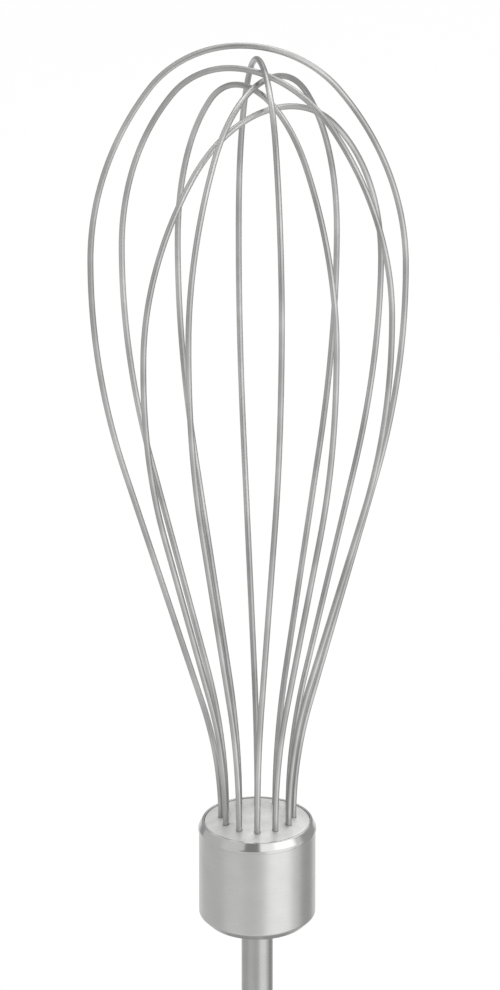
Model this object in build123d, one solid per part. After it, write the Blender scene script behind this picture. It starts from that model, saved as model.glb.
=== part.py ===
from build123d import *
from math import radians, tan
import os

# Whisk attachment: six bent wire loops held in a drawn steel cup on a straight drive shaft.
# Millimetres, +Z up along the shaft. The origin is on the axis at the underside of the cup.

# drive shaft, read at 6 mm and taken as the scale of the whole part
shaft_diameter = 6.0
shaft_length = 50.0
shaft_chamfer = 0.7
grip_diameter = 7.0
head_diameter = 9.0
head_height = 3.0
head_above_floor = 8.0

# cup
cup_diameter = 22.2
cup_height = 21.0
cup_wall = 1.0
cup_floor = 1.0
cup_edge = 1.8
cup_edge_radius = 1.0
cup_root_radius = 1.6

# rolled band round the top of the cup: a low lip, then a rounded slope up to the rim
band_height = 2.0
band_proud = 0.15
band_step = 0.12
band_radius = 0.15
lip_height = 0.5
slope_radius = 1.0
rim_width = 0.4
rim_radius = 0.3
mouth_radius = 0.1

# crowned plate in the mouth of the cup
plate_thickness = 1.2
plate_crown = 1.6
plate_recess = 0.2
hole_circle = 13.72

# wire and the shape that all loops share; rises are measured from the edge of the plate's top
wire_diameter = 1.15
wire_depth = 14.0
balloon_rise = 160.0
balloon_radius = 30.0
neck_rise = 14.3
neck_straight = 0.5
shoulder_share = 0.583
widest_share = 0.722
crown_half = 11.25
bend_share = 0.99  # each bend stops just short of the next, so every arc has a straight to leave from

# fits
punch_clearance = 0.08
wire_clearance = 0.05
plate_clearance = 0.08
core_clearance = 0.05
shaft_clearance = 0.05

# One row per loop, tallest first. turn is the direction of its second leg, in degrees from +X towards +Y.
# left and right are the half widths at the first and second leg, in shares of the balloon's radius. rise is
# the height of the crown in shares of the balloon's rise, and neck the height where the legs turn outwards in
# shares of the neck's. shift and lean carry the crown along and across the loop, in shares of the radius.
# twist turns the balloon over its holes, in degrees.
loops = [
    dict(turn=0, left=1.045, right=0.929, rise=1.0, neck=0.9, shift=-0.093, lean=-0.007, twist=-2.0),
    dict(turn=-90, left=0.995, right=0.98, rise=0.978, neck=1.03, shift=0.12, lean=0.025, twist=7.8),
    dict(turn=-30, left=1.0, right=1.003, rise=0.968, neck=1.11, shift=-0.026, lean=-0.021, twist=-2.4),
    dict(turn=60, left=0.926, right=0.993, rise=0.955, neck=1.015, shift=-0.034, lean=-0.032, twist=1.0),
    dict(turn=-60, left=0.998, right=0.99, rise=0.942, neck=0.975, shift=0.017, lean=-0.005, twist=0.0),
    dict(turn=30, left=1.067, right=1.001, rise=0.926, neck=1.03, shift=-0.061, lean=-0.117, twist=14.0),
]

# levels and radii that follow from the sizes above
cup_top = cup_height
plate_top = cup_top - plate_recess
core_base = cup_floor
core_top = plate_top - plate_thickness
crown_top = plate_top + plate_crown
bore_radius = cup_diameter / 2 - cup_wall


def spot(along, across, height, direction):
    """A point given along and across a loop that lies in one direction, above the plate's edge."""
    flat = Vector(along, across).rotate(Axis.Z, direction)
    return Vector(flat.X, flat.Y, plate_top + height)


def half_loop(loop, side):
    """Corners of one half of a loop from its wire end to its crown, and the reach of each corner's bend."""
    rise = balloon_rise * loop["rise"]
    neck = neck_rise * loop["neck"]
    width = balloon_radius * loop["right" if side > 0 else "left"]
    shift = balloon_radius * loop["shift"]
    lean = balloon_radius * loop["lean"]
    balloon = loop["turn"] + loop["twist"]
    shoulder = shoulder_share * rise
    widest = widest_share * rise
    reach = width - side * shift - crown_half
    upper = (reach**2 + rise**2 - (widest - crown_half) ** 2) / (2 * (rise - widest + crown_half))
    corners = [
        spot(side * hole_circle / 2, 0, -wire_depth, loop["turn"]),
        spot(side * hole_circle / 2, 0, neck, loop["turn"]),
        spot(side * width, lean * shoulder / rise, shoulder, balloon),
        spot(side * width, lean * upper / rise, upper, balloon),
        spot(shift + side * crown_half, lean, rise, balloon),
    ]
    flank = (corners[3] - corners[2]).length
    slope = (corners[4] - corners[3]).length
    lower_bend = widest - shoulder
    upper_bend = flank - lower_bend
    crown_bend = min(slope - upper_bend, crown_half)
    return corners, [neck - neck_straight, lower_bend, upper_bend, crown_bend]


def wire_route(loop):
    """Centre line of one loop: straights joined by tangent arcs."""
    first, first_bends = half_loop(loop, -1)
    second, second_bends = half_loop(loop, 1)
    corners = first + second[::-1]
    bends = first_bends + second_bends[::-1]
    radii = []
    for before, corner, after, bend in zip(corners, corners[1:], corners[2:], bends):
        angle = (corner - before).get_angle(after - corner)
        radii.append(bend_share * bend / tan(radians(angle) / 2))
    return FilletPolyline(*corners, radius=radii)


def wire_loop(loop):
    """One bent wire of round section."""
    route = wire_route(loop)
    section = Plane(origin=route @ 0, z_dir=route % 0) * Circle(wire_diameter / 2)
    return sweep(section, path=route)


def turned(points, radii):
    """A body of revolution from its half section, with a radius at each corner."""
    outline = FilletPolyline(*[(x, 0, z) for x, z in points], radius=radii, close=True)
    return revolve(make_face(outline), Axis.Z)


def hub_cup():
    """Drawn cup with a bevelled lower edge, a hole for the shaft and the rolled band round its mouth."""
    outside = cup_diameter / 2
    opening = grip_diameter / 2 + shaft_clearance
    band_base = cup_top - band_height
    section = [
        (opening, 0),
        (outside - cup_edge, 0),
        (outside, cup_edge),
        (outside, band_base - band_step),
        (outside + band_proud, band_base),
        (outside + band_proud, band_base + lip_height),
        (bore_radius + rim_width, cup_top),
        (bore_radius, cup_top),
        (bore_radius, core_base),
        (opening, core_base),
    ]
    upper_radii = [band_radius, slope_radius, rim_radius, mouth_radius]
    return turned(section, [0, cup_edge_radius, cup_edge_radius, 0, *upper_radii, cup_root_radius, 0])


def holes(radius, base):
    """The ring of wire holes, from a base level up through the crown of the plate."""
    drill = Pos(0, 0, (base + crown_top) / 2) * Cylinder(radius, crown_top - base)
    return [place * drill for place in PolarLocations(hole_circle / 2, 2 * len(loops))]


def wire_plate():
    """Disc in the mouth of the cup, domed on top, with a punched hole for each wire leg."""
    radius = bore_radius - plate_clearance
    dome_radius = (radius**2 + plate_crown**2) / (2 * plate_crown)
    disc = Pos(0, 0, (core_top + crown_top) / 2) * Cylinder(radius, crown_top - core_top)
    dome = Pos(0, 0, crown_top - dome_radius) * Sphere(dome_radius)
    return (disc & dome) - holes(wire_diameter / 2 + punch_clearance, core_top)


def hub_core():
    """Moulded filling of the cup: a socket for each wire leg and the room for the shaft's grip and head."""
    radius = bore_radius - core_clearance
    height = core_top - core_base
    body = Pos(0, 0, core_base + height / 2) * Cylinder(radius, height)
    body = chamfer(body.edges().group_by(Axis.Z)[0], cup_root_radius)
    sockets = holes(wire_diameter / 2 + wire_clearance, plate_top - wire_depth - wire_clearance)
    return body - sockets - shaft_grip(shaft_clearance)


def shaft_grip(grown=0.0):
    """The end of the shaft that the core holds, or the room for it when grown by a clearance."""
    head_base = core_base + head_above_floor - grown
    head_top = core_base + head_above_floor + head_height + grown
    neck = Pos(0, 0, head_base / 2) * Cylinder(grip_diameter / 2 + grown, head_base)
    head = Pos(0, 0, (head_base + head_top) / 2) * Cylinder(head_diameter / 2 + grown, head_top - head_base)
    return neck + head


def drive_shaft():
    """Straight round shaft, chamfered at the plug-in end, stepped up where the cup's floor takes it."""
    free = Pos(0, 0, -shaft_length / 2) * Cylinder(shaft_diameter / 2, shaft_length)
    free = chamfer(free.edges().group_by(Axis.Z)[0], shaft_chamfer)
    return free + shaft_grip()


os.makedirs("parts", exist_ok=True)
for number, loop in enumerate(loops, 1):
    export_step(wire_loop(loop), f"parts/wire_loop_{number}.step")
export_step(hub_cup(), "parts/hub_cup.step")
export_step(wire_plate(), "parts/wire_plate.step")
export_step(hub_core(), "parts/hub_core.step")
export_step(drive_shaft(), "parts/drive_shaft.step")
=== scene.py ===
import bpy
import bmesh
import math
import numpy as np
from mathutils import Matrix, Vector


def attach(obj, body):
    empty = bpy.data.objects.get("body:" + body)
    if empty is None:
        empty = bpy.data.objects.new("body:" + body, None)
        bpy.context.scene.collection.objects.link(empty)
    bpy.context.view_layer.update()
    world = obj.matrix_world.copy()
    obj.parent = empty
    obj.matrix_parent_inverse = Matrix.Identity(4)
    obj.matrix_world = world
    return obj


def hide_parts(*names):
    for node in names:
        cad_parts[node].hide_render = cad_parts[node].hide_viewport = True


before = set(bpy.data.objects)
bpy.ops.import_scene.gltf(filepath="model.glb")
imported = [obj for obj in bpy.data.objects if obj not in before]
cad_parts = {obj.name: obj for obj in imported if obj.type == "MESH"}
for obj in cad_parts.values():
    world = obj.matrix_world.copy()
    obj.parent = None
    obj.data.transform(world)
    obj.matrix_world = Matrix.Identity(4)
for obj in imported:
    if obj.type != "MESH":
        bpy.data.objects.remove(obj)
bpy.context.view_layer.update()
scene = bpy.context.scene
mm = 0.001
tiny = 1e-4  # mm or radians that count as nothing
crispEdge = 35  # degrees between two faces from which their edge stays crisp
noiseRange = (0.3, 0.7)  # what most of a noise texture's values keep to
white = (1, 1, 1, 1)
print("frame loaded:", len(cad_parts), "nodes")


def linear(hexColour):  # sRGB hex to linear RGBA
    parts = np.array([int(hexColour[i:i + 2], 16) / 255 for i in (1, 3, 5)])
    low, high = parts / 12.92, ((parts + 0.055) / 1.055) ** 2.4
    return (*np.where(parts <= 0.04045, low, high).tolist(), 1.0)


def addNode(tree, kind, inputs=None, **settings):  # a node, its settings and what feeds its sockets
    node = tree.nodes.new(kind)
    for name, value in settings.items():
        setattr(node, name, value)
    for name, value in (inputs or {}).items():
        if isinstance(value, bpy.types.NodeSocket):
            tree.links.new(value, node.inputs[name])
        else:
            node.inputs[name].default_value = value
    return node


def emptyTree(owner):  # the node tree of a material or world, cleared
    owner.use_nodes = True
    owner.node_tree.nodes.clear()
    return owner.node_tree


def roundedRoute(corners, reaches, steps):
    # straights joined by tangent arcs: each corner gives up its reach on both sides, and
    # arc(k) = centre + (sin((1 - k) w) e0 + sin(k w) e1) / sin(w) for k from 0 to 1
    rows = [corners[:1]]
    k = np.linspace(0, 1, steps)[:, None]
    for before, corner, after, reach in zip(corners, corners[1:], corners[2:], reaches):
        back = (before - corner) / np.linalg.norm(before - corner)
        ahead = (after - corner) / np.linalg.norm(after - corner)
        turn = math.pi - math.acos(float(np.clip(back @ ahead, -1, 1)))
        if reach == 0 or turn < tiny:
            rows.append(corner[None])
            continue
        radius = reach / math.tan(turn / 2)
        middle = (back + ahead) / np.linalg.norm(back + ahead)
        centre = corner + middle * radius / math.cos(turn / 2)
        e0, e1 = corner + back * reach - centre, corner + ahead * reach - centre
        rows.append(centre + (np.sin((1 - k) * turn) * e0 + np.sin(k * turn) * e1) / math.sin(turn))
    rows.append(corners[-1:])
    return np.vstack(rows)


def pathLength(path):  # distance along a path at each of its points
    return np.r_[0, np.cumsum(np.linalg.norm(np.diff(path, axis=0), axis=1))]


def gridPiece(name, grid, along, closeRows=False):
    # a surface from a grid of points [row, column, xyz] in mm: columns always run round,
    # rows run on into each other where closeRows is set, and otherwise both ends get a fan
    rows, cols = grid.shape[:2]
    points = (grid * mm).reshape(-1, 3)
    i = np.arange(rows if closeRows else rows - 1)[:, None]
    j = np.arange(cols)[None]
    nextI, nextJ = (i + 1) % rows, (j + 1) % cols
    loop = (i * cols + j, i * cols + nextJ, nextI * cols + nextJ, nextI * cols + j)
    faces = np.stack(np.broadcast_arrays(*loop), -1).reshape(-1, 4).tolist()
    uvU = np.stack(np.broadcast_arrays(j, j + 1, j + 1, j), -1) / cols + 0 * i[..., None]
    uvV = np.stack(np.broadcast_arrays(along[i], along[i], along[nextI], along[nextI]), -1)
    uv = np.stack(np.broadcast_arrays(uvU, uvV * mm), -1).reshape(-1, 2)
    if not closeRows:
        points = np.vstack([points, points[:cols].mean(0), points[-cols:].mean(0)])
        ring, lastRing = np.arange(cols), (rows - 1) * cols
        nextRing, tips = (ring + 1) % cols, np.full((2, cols), [[rows * cols], [rows * cols + 1]])
        first = np.stack([ring, tips[0], nextRing], -1)
        last = np.stack([lastRing + ring, lastRing + nextRing, tips[1]], -1)
        faces += first.tolist() + last.tolist()
        uv = np.vstack([uv, np.zeros((first.size + last.size, 2))])  # the fans carry no pattern
    mesh = bpy.data.meshes.new(name)
    mesh.from_pydata(points.tolist(), [], faces)
    mesh.uv_layers.new(name="UVMap").data.foreach_set("uv", uv.astype(np.float32).ravel())
    work = bmesh.new()
    work.from_mesh(mesh)
    bmesh.ops.recalc_face_normals(work, faces=work.faces)
    work.to_mesh(mesh)
    work.free()
    mesh.polygons.foreach_set("use_smooth", np.ones(len(mesh.polygons), bool))
    mesh.set_sharp_from_angle(angle=math.radians(crispEdge))
    piece = bpy.data.objects.new(name, mesh)
    scene.collection.objects.link(piece)
    return piece


def lathe(name, profile, columns, closeRows=False):
    # a half section (radius, height) turned round the Z axis: (r cos a, r sin a, z)
    a = np.linspace(0, 2 * math.pi, columns, endpoint=False)[None]
    r, z = profile[:, :1], profile[:, 1:]
    grid = np.stack(np.broadcast_arrays(r * np.cos(a), r * np.sin(a), z), -1)
    return gridPiece(name, grid, pathLength(profile), closeRows)


def profileReaches(corners, radii):  # how much of its sides each corner radius takes
    reaches = []
    for before, corner, after, radius in zip(corners, corners[1:], corners[2:], radii):
        back, ahead = before - corner, after - corner
        cosine = back @ ahead / np.linalg.norm(back) / np.linalg.norm(ahead)
        reaches.append(radius * math.tan((math.pi - math.acos(float(np.clip(cosine, -1, 1)))) / 2))
    return reaches


def finishPiece(piece, material, slotName, *nodes):
    piece.data.materials.append(material)
    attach(piece, "root")
    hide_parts(*nodes)


wireFinish = {
    "bright": "#C4C4C3", "dull": "#A6A6A5",  # cold drawn stainless
    "roughness": (0.32, 0.44),
    "lineWidth": 0.12,  # mm between drawing lines; finer on real wire, coarse enough here to show
    "lineLength": 14.0,  # mm that a line runs along the wire
    "lineDepth": 0.02, "bump": 0.1,  # mm, and how strongly it shows
    "cloud": 13.0,  # mm between brighter and duller stretches
    "cloudRange": (0.35, 0.65),  # noise values at which a stretch is fully bright, and fully dull
}


def drawnWireSteel(values):
    # stainless wire pulled through a die and tumbled: long faint lines along it, soft gloss
    material = bpy.data.materials.new("stainless wire, drawn and tumbled")
    tree = emptyTree(material)
    place = addNode(tree, "ShaderNodeTexCoord")
    linesRound = math.pi * wire["diameter"] / values["lineWidth"]
    stretch = addNode(tree, "ShaderNodeMapping", {
        "Vector": place.outputs["UV"], "Scale": (linesRound, 1 / (values["lineLength"] * mm), 1)})
    lines = addNode(tree, "ShaderNodeTexNoise", {
        "Vector": stretch.outputs["Vector"], "Scale": 1.0, "Detail": 3.0, "Roughness": 0.6})
    cloud = addNode(tree, "ShaderNodeTexNoise", {
        "Vector": place.outputs["Object"], "Scale": 1 / (values["cloud"] * mm), "Detail": 2.0})
    share = addNode(tree, "ShaderNodeMapRange", {
        "Value": cloud.outputs["Fac"],
        "From Min": values["cloudRange"][0], "From Max": values["cloudRange"][1]})
    tone = addNode(tree, "ShaderNodeMix", {
        "Factor": share.outputs["Result"], "A": linear(values["bright"]), "B": linear(values["dull"])},
        data_type="RGBA")
    rough = addNode(tree, "ShaderNodeMapRange", {
        "Value": lines.outputs["Fac"], "From Min": noiseRange[0], "From Max": noiseRange[1],
        "To Min": values["roughness"][0], "To Max": values["roughness"][1]})
    bump = addNode(tree, "ShaderNodeBump", {
        "Height": lines.outputs["Fac"], "Strength": values["bump"], "Distance": values["lineDepth"] * mm})
    shader = addNode(tree, "ShaderNodeBsdfPrincipled", {
        "Base Color": tone.outputs["Result"], "Metallic": 1.0,
        "Roughness": rough.outputs["Result"], "Normal": bump.outputs["Normal"]})
    addNode(tree, "ShaderNodeOutputMaterial", {"Surface": shader.outputs["BSDF"]})
    return material


cupFinish = {
    "name": "stainless steel, drawn and satin turned",
    "bright": "#C8C8C7", "dull": "#BABAB9",
    "roughness": (0.26, 0.34),
    "lineWidth": 0.16,  # mm between turning lines, coarser than the real ones so that they show
    "cloud": 5.0,  # mm between brighter and duller places
    "bump": 0.06,
    "polishedFrom": 19.0, "polish": 0.14,  # mm up, and the roughness of the rolled band above it
    "polishFade": 0.1,  # mm that the change takes
}
shaftFinish = {
    "name": "stainless bar, centreless ground",
    "bright": "#B2B2B1", "dull": "#A4A4A3",
    "roughness": (0.22, 0.32),
    "lineWidth": 0.12, "cloud": 5.0, "bump": 0.05,
}
plateFinish = {
    "name": "stainless disc, stamped and tumbled",
    "bright": "#ECECEB", "dull": "#D2D2D1",
    "roughness": (0.5, 0.68),
    "lineWidth": 0.5, "cloud": 2.2, "bump": 0.1,
}
turningMark = {
    "stretch": 60,  # how many times longer a mark is than the space between two
    "depth": 0.03,  # mm
}


def turnedSteel(values):
    # steel worked while it spins: fine rings stacked along Z, soft clouds where it was handled
    material = bpy.data.materials.new(values["name"])
    tree = emptyTree(material)
    place = addNode(tree, "ShaderNodeTexCoord").outputs["Object"]
    fine = 1 / (values["lineWidth"] * mm)
    coarse = fine / turningMark["stretch"]
    stretch = addNode(tree, "ShaderNodeMapping", {"Vector": place, "Scale": (coarse, coarse, fine)})
    lines = addNode(tree, "ShaderNodeTexNoise", {
        "Vector": stretch.outputs["Vector"], "Scale": 1.0, "Detail": 3.0, "Roughness": 0.55})
    cloud = addNode(tree, "ShaderNodeTexNoise", {
        "Vector": place, "Scale": 1 / (values["cloud"] * mm), "Detail": 3.0})
    tone = addNode(tree, "ShaderNodeMix", {
        "Factor": cloud.outputs["Fac"], "A": linear(values["bright"]), "B": linear(values["dull"])},
        data_type="RGBA")
    rough = addNode(tree, "ShaderNodeMapRange", {
        "Value": lines.outputs["Fac"], "From Min": noiseRange[0], "From Max": noiseRange[1],
        "To Min": values["roughness"][0], "To Max": values["roughness"][1]}).outputs["Result"]
    if "polishedFrom" in values:
        height = addNode(tree, "ShaderNodeSeparateXYZ", {"Vector": place}).outputs["Z"]
        edge, fade = values["polishedFrom"] * mm, values["polishFade"] * mm
        above = addNode(tree, "ShaderNodeMapRange", {
            "Value": height, "From Min": edge - fade / 2, "From Max": edge + fade / 2})
        rough = addNode(tree, "ShaderNodeMix", {
            "Factor": above.outputs["Result"], "A": rough, "B": values["polish"]}).outputs["Result"]
    bump = addNode(tree, "ShaderNodeBump", {
        "Height": lines.outputs["Fac"], "Strength": values["bump"], "Distance": turningMark["depth"] * mm})
    shader = addNode(tree, "ShaderNodeBsdfPrincipled", {
        "Base Color": tone.outputs["Result"], "Metallic": 1.0,
        "Roughness": rough, "Normal": bump.outputs["Normal"]})
    addNode(tree, "ShaderNodeOutputMaterial", {"Surface": shader.outputs["BSDF"]})
    return material


coreFinish = {
    "colour": "#C8C8C6", "speck": "#BCBCBA", "roughness": 0.55,
    "grain": 0.6, "depth": 0.05, "bump": 0.2,  # mm, mm, and how strongly it shows
}


def mouldedNylon(values):
    # glass-filled nylon, moulded: matt, faintly speckled
    material = bpy.data.materials.new("nylon, moulded")
    tree = emptyTree(material)
    place = addNode(tree, "ShaderNodeTexCoord")
    grain = addNode(tree, "ShaderNodeTexNoise", {
        "Vector": place.outputs["Object"], "Scale": 1 / (values["grain"] * mm), "Detail": 2.0})
    tone = addNode(tree, "ShaderNodeMix", {
        "Factor": grain.outputs["Fac"], "A": linear(values["colour"]), "B": linear(values["speck"])},
        data_type="RGBA")
    bump = addNode(tree, "ShaderNodeBump", {
        "Height": grain.outputs["Fac"], "Strength": values["bump"], "Distance": values["depth"] * mm})
    shader = addNode(tree, "ShaderNodeBsdfPrincipled", {
        "Base Color": tone.outputs["Result"], "Roughness": values["roughness"],
        "Normal": bump.outputs["Normal"]})
    addNode(tree, "ShaderNodeOutputMaterial", {"Surface": shader.outputs["BSDF"]})
    return material


wire = {
    "plateTop": 20.8,  # mm from the underside of the cup up to the edge of the plate
    "diameter": 1.15, "depth": 14.0, "holeCircle": 13.72,  # mm; the ends lie that deep below the plate's edge
    "balloonRise": 160.0, "balloonRadius": 30.0,  # mm
    "neckRise": 14.3, "neckStraight": 0.5,  # mm up to where the legs turn outwards, and straight before that
    "shoulderShare": 0.583, "widestShare": 0.722,  # heights in shares of a loop's rise
    "crownHalf": 11.25,  # mm from the middle of the crown to its corners
    "bendShare": 0.99,  # each bend stops just short of the next
    "sides": 20, "arcSteps": 30,  # of the mesh
    "loops": [  # turn, left, right, rise, neck, shift, lean, twist; degrees, and shares of the sizes above
        (0, 1.045, 0.929, 1.0, 0.9, -0.093, -0.007, -2.0),
        (-90, 0.995, 0.98, 0.978, 1.03, 0.12, 0.025, 7.8),
        (-30, 1.0, 1.003, 0.968, 1.11, -0.026, -0.021, -2.4),
        (60, 0.926, 0.993, 0.955, 1.015, -0.034, -0.032, 1.0),
        (-60, 0.998, 0.99, 0.942, 0.975, 0.017, -0.005, 0.0),
        (30, 1.067, 1.001, 0.926, 1.03, -0.061, -0.117, 14.0),
    ],
}


def spot(along, across, height, degrees):  # a point along and across a loop, above the plate's edge
    a = math.radians(degrees)
    x = along * math.cos(a) - across * math.sin(a)
    y = along * math.sin(a) + across * math.cos(a)
    return np.array([x, y, wire["plateTop"] + height])


def halfLoop(loop, side):  # corners from a wire end up to the crown, and the reach of each bend
    turn, left, right, rise, neck, shift, lean, twist = loop
    width = wire["balloonRadius"] * (right if side > 0 else left)
    shift, lean = wire["balloonRadius"] * shift, wire["balloonRadius"] * lean
    rise, neck = wire["balloonRise"] * rise, wire["neckRise"] * neck
    shoulder, widest = wire["shoulderShare"] * rise, wire["widestShare"] * rise
    half, foot = wire["crownHalf"], side * wire["holeCircle"] / 2
    reach = width - side * shift - half
    upper = (reach ** 2 + rise ** 2 - (widest - half) ** 2) / (2 * (rise - widest + half))
    corners = [
        spot(foot, 0, -wire["depth"], turn),
        spot(foot, 0, neck, turn),
        spot(side * width, lean * shoulder / rise, shoulder, turn + twist),
        spot(side * width, lean * upper / rise, upper, turn + twist),
        spot(shift + side * half, lean, rise, turn + twist),
    ]
    lowerBend = widest - shoulder
    upperBend = np.linalg.norm(corners[3] - corners[2]) - lowerBend
    crownBend = min(np.linalg.norm(corners[4] - corners[3]) - upperBend, half)
    return corners, [neck - wire["neckStraight"], lowerBend, upperBend, crownBend]


def wireLoop(name, loop):
    # a circle carried along the route, on a frame that leans on the loop's own flat side
    first, firstBends = halfLoop(loop, -1)
    second, secondBends = halfLoop(loop, 1)
    corners = np.array(first + second[::-1])
    bends = wire["bendShare"] * np.array(firstBends + secondBends[::-1])
    path = roundedRoute(corners, bends, wire["arcSteps"])
    path = path[np.r_[True, np.linalg.norm(np.diff(path, axis=0), axis=1) > tiny]]
    along = pathLength(path)
    tangent = np.gradient(path, along, axis=0)
    tangent /= np.linalg.norm(tangent, axis=1, keepdims=True)
    flat = math.radians(loop[0] + loop[-1])
    across = np.array([-math.sin(flat), math.cos(flat), 0.0])
    side = across - (tangent @ across)[:, None] * tangent
    side /= np.linalg.norm(side, axis=1, keepdims=True)
    up = np.cross(tangent, side)
    a = np.linspace(0, 2 * math.pi, wire["sides"], endpoint=False)[None, :, None]
    grid = path[:, None] + wire["diameter"] / 2 * (np.cos(a) * side[:, None] + np.sin(a) * up[:, None])
    return gridPiece(name, grid, along)


wireSteel = drawnWireSteel(wireFinish)
for number, loop in enumerate(wire["loops"], 1):
    piece = wireLoop(f"drawnWire{number}", loop)
    finishPiece(piece, wireSteel, "wire_steel", f"wire_loop_{number}")
print("wire loops:", len(wire["loops"]))

cup = {  # mm
    "radius": 11.1, "height": 21.0, "wall": 1.0, "floor": 1.0,
    "bevel": 1.8, "bevelEdge": 1.0, "root": 1.6, "opening": 3.55,
    "bandHeight": 2.0, "bandProud": 0.15, "bandStep": 0.12, "bandEdge": 0.15,
    "lipHeight": 0.5, "slopeEdge": 1.0,
    "rimWidth": 0.4, "rimEdge": 0.3, "mouthEdge": 0.1,
    "columns": 192, "arcSteps": 10,  # of the mesh
}


def drawnCup(values):
    # the wall's section, corner by corner from the shaft's opening outwards, up and back down inside
    bore = values["radius"] - values["wall"]
    bandBase = values["height"] - values["bandHeight"]
    corners = np.array([
        (values["opening"], 0),
        (values["radius"] - values["bevel"], 0),
        (values["radius"], values["bevel"]),
        (values["radius"], bandBase - values["bandStep"]),
        (values["radius"] + values["bandProud"], bandBase),
        (values["radius"] + values["bandProud"], bandBase + values["lipHeight"]),
        (bore + values["rimWidth"], values["height"]),
        (bore, values["height"]),
        (bore, values["floor"]),
        (values["opening"], values["floor"]),
    ])
    upper = [values[corner] for corner in ("bandEdge", "slopeEdge", "rimEdge", "mouthEdge")]
    radii = [0, values["bevelEdge"], values["bevelEdge"], 0, *upper, values["root"], 0]
    ring = np.vstack([corners[-1:], corners, corners[:1]])
    profile = roundedRoute(ring, profileReaches(ring, radii), values["arcSteps"])[1:-1]
    return lathe("drawnCup", profile, values["columns"], closeRows=True)


finishPiece(drawnCup(cup), turnedSteel(cupFinish), "cup_steel", "hub_cup")
print("cup done")

shaft = {  # mm; heights from the underside of the cup
    "radius": 3.0, "length": 50.0, "chamfer": 0.7,
    "gripRadius": 3.5, "headRadius": 4.5, "headBase": 9.0, "headTop": 12.0,
    "columns": 96,  # of the mesh
}


def groundShaft(values):
    # steps from the plug-in end up to the head that the core holds, with flat ends
    profile = np.array([
        (values["radius"] - values["chamfer"], -values["length"]),
        (values["radius"], -values["length"] + values["chamfer"]),
        (values["radius"], 0),
        (values["gripRadius"], 0),
        (values["gripRadius"], values["headBase"]),
        (values["headRadius"], values["headBase"]),
        (values["headRadius"], values["headTop"]),
    ])
    return lathe("groundShaft", profile, values["columns"])


finishPiece(groundShaft(shaft), turnedSteel(shaftFinish), "shaft_steel", "drive_shaft")
print("shaft done")

# plate and core keep their CAD solids
for node, material in (("wire_plate", turnedSteel(plateFinish)), ("hub_core", mouldedNylon(coreFinish))):
    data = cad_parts[node].data
    data.materials.clear()
    data.materials.append(material)
print("plate and core dressed")

studio = {
    "centre": 60.0,  # mm up, where the lamp points and the middle of the tent is
    "floor": -50.5, "floorSize": 4.0,  # mm up, and metres
    "paper": "#F4F4F4", "paperWhite": 0.75,  # its colour, and how much of it is plain white
    "ambient": 0.95,  # strength of the light from all round
    "keyAzimuth": 46, "keyElevation": 40, "keyDistance": 0.9,  # degrees, degrees, metres
    "keySize": (0.3, 0.5), "keyPower": 5.0,  # metres, watts
}
studioCentre = Vector((0, 0, studio["centre"] * mm))


def aimed(azimuth, elevation, distance, aim):  # a place round the part; azimuth 0 is the camera's side
    a, e = math.radians(azimuth), math.radians(elevation)
    return aim + distance * Vector((math.sin(a) * math.cos(e), -math.cos(a) * math.cos(e), math.sin(e)))


def whiteForView(tree):  # 1 for what is looked at, also in or through a surface; 0 for bounced light
    path = addNode(tree, "ShaderNodeLightPath").outputs
    seen = addNode(tree, "ShaderNodeMath", {
        0: path["Is Camera Ray"], 1: path["Is Glossy Ray"]}, operation="MAXIMUM")
    return addNode(tree, "ShaderNodeMath", {
        0: seen.outputs[0], 1: path["Is Transmission Ray"]}, operation="MAXIMUM").outputs[0]


def stageMesh(name, points, faces, material):  # something of the studio, not of the part
    mesh = bpy.data.meshes.new(name)
    mesh.from_pydata(points, [], faces)
    mesh.materials.append(material)
    made = bpy.data.objects.new(name, mesh)
    scene.collection.objects.link(made)
    return made


def whiteRoom(values):  # white to look at, and soft light from all round
    world = bpy.data.worlds.new("white room")
    tree = emptyTree(world)
    ambient = addNode(tree, "ShaderNodeBackground", {"Color": white, "Strength": values["ambient"]})
    plain = addNode(tree, "ShaderNodeBackground", {"Color": white, "Strength": 1.0})
    mix = addNode(tree, "ShaderNodeMixShader", {
        0: whiteForView(tree), 1: ambient.outputs[0], 2: plain.outputs[0]})
    addNode(tree, "ShaderNodeOutputWorld", {"Surface": mix.outputs[0]})
    scene.world = world


def paperFloor(values):
    # matt paper that takes the part's shadow, mixed with plain white so that it joins the room
    paper = bpy.data.materials.new("white paper sweep")
    tree = emptyTree(paper)
    matt = addNode(tree, "ShaderNodeBsdfDiffuse", {"Color": linear(values["paper"])})
    glow = addNode(tree, "ShaderNodeEmission", {"Color": white, "Strength": 1.0})
    share = addNode(tree, "ShaderNodeMath", {
        0: whiteForView(tree), 1: values["paperWhite"]}, operation="MULTIPLY")
    mix = addNode(tree, "ShaderNodeMixShader", {
        0: share.outputs[0], 1: matt.outputs[0], 2: glow.outputs[0]})
    addNode(tree, "ShaderNodeOutputMaterial", {"Surface": mix.outputs[0]})
    half, level = values["floorSize"] / 2, values["floor"] * mm
    corners = [(-half, -half, level), (half, -half, level), (half, half, level), (-half, half, level)]
    floor = stageMesh("studioFloor", corners, [(0, 1, 2, 3)], paper)
    floor.visible_glossy = False  # the tent is what the steel shows


whiteRoom(studio)
paperFloor(studio)

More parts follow.
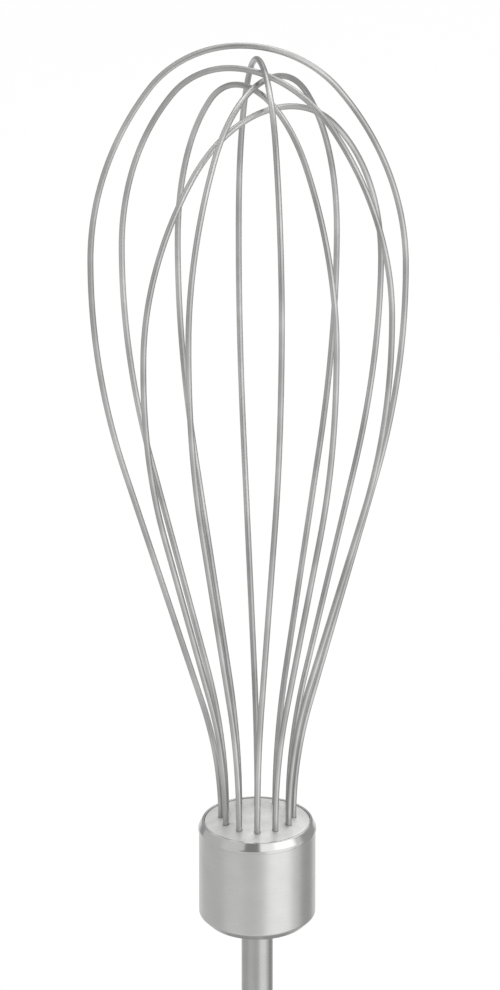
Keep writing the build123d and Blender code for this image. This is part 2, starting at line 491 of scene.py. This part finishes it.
tent = {
    "radius": 1.5, "rows": 121, "columns": 241, "tone": 0.92,
    "panels": [  # azimuth, elevation, half width, half height and soft edge in degrees, then the tone
        (-105, -15, 34, 50, 16, 0.76),  # grey side on the left
        (-110, 50, 45, 25, 20, 0.7),  # its upper part
        (180, 56, 70, 28, 12, 2.25),  # bright cloth over the back
        (-144, 34, 24, 26, 14, 0.5),  # its shaded end on the left
        (148, 30, 20, 22, 14, 0.9),  # and on the right
        (180, 9, 55, 19, 6, 0.45),  # dark wall under it
        (0, 90, 190, 14, 8, 0.35),  # dark ceiling, with no soft edge where it meets itself
        (180, -60, 34, 14, 8, 0.34),  # dark foot of the back, for the cup's lower edge
        (-12, -30, 16, 26, 12, 0.84),  # grey low in front
        (117, -20, 22, 50, 12, 0.5),  # dark edge on the right
        (45, -35, 27, 34, 16, 1.45),  # bright strip, low
        (43, 19, 37, 15, 4, 1.5),  # the lamp in it
        (55, 20, 20, 12, 14, 2.0),  # and its bright middle
        (-20, 2, 12, 13, 6, 0.5),  # dark room round the camera, to its left
        (-10.5, 26, 15, 30, 3, 0.34),  # and behind it
    ],
}


def lightTent(values):
    # a ball that only reflections see: (cos e sin a, -cos e cos a, sin e) times its radius; each panel
    # is painted over the last as t (1 - w) + tone w, where w falls from 1 to 0 across the soft edge
    rows, cols = values["rows"], values["columns"]
    elevations = np.linspace(-90, 90, rows)[:, None]
    azimuths = np.linspace(-180, 180, cols)[None]
    e, a = np.radians(elevations), np.radians(azimuths)
    ball = np.broadcast_arrays(np.cos(e) * np.sin(a), -np.cos(e) * np.cos(a), np.sin(e))
    tone = np.full((rows, cols), values["tone"])
    for azimuth, elevation, halfWidth, halfHeight, soft, panelTone in values["panels"]:
        sideways = halfWidth - np.abs((azimuths - azimuth + 180) % 360 - 180)
        upright = halfHeight - np.abs(elevations - elevation)
        across, along = (np.clip(inside / soft + 0.5, 0, 1) for inside in (sideways, upright))
        w = across ** 2 * (3 - 2 * across) * along ** 2 * (3 - 2 * along)
        tone += (panelTone - tone) * w
    i, j = np.arange(rows - 1)[:, None] * cols, np.arange(cols - 1)[None]
    quads = np.stack([i + j, i + j + 1, i + cols + j + 1, i + cols + j], -1).reshape(-1, 4)
    cloth = bpy.data.materials.new("painted cloth tent")
    tree = emptyTree(cloth)
    painted = addNode(tree, "ShaderNodeAttribute", attribute_name="tone")
    lit = addNode(tree, "ShaderNodeEmission", {"Color": white, "Strength": painted.outputs["Fac"]})
    addNode(tree, "ShaderNodeOutputMaterial", {"Surface": lit.outputs[0]})
    points = values["radius"] * np.stack(ball, -1).reshape(-1, 3)
    made = stageMesh("lightTent", points.tolist(), quads.tolist(), cloth)
    tones = made.data.attributes.new("tone", "FLOAT", "POINT").data
    tones.foreach_set("value", tone.astype(np.float32).ravel())
    made.location = studioCentre
    for kind in ("camera", "diffuse", "shadow", "transmission", "volume_scatter"):
        setattr(made, "visible_" + kind, False)


lightTent(tent)

keyData = bpy.data.lights.new("key", "AREA")
keyData.shape = "RECTANGLE"
keyData.size, keyData.size_y = studio["keySize"]
keyData.energy = studio["keyPower"]
key = bpy.data.objects.new("key", keyData)
scene.collection.objects.link(key)
key.location = aimed(studio["keyAzimuth"], studio["keyElevation"], studio["keyDistance"], studioCentre)
key.rotation_euler = (studioCentre - key.location).to_track_quat("-Z", "Y").to_euler()
key.visible_glossy = False

view = {
    "elevation": 24.25, "distance": 3.143,  # degrees, metres
    "lens": 605.3, "aim": (-1.38, 0, 88.82),  # mm
}
cameraData = bpy.data.cameras.new("camera")
cameraData.lens = view["lens"]
camera = bpy.data.objects.new("camera", cameraData)
scene.collection.objects.link(camera)
lookAt = Vector(view["aim"]) * mm
camera.location = aimed(0, view["elevation"], view["distance"], lookAt)
camera.rotation_euler = (lookAt - camera.location).to_track_quat("-Z", "Y").to_euler()
scene.camera = camera
scene.view_settings.view_transform = "Standard"
print("studio and camera set")
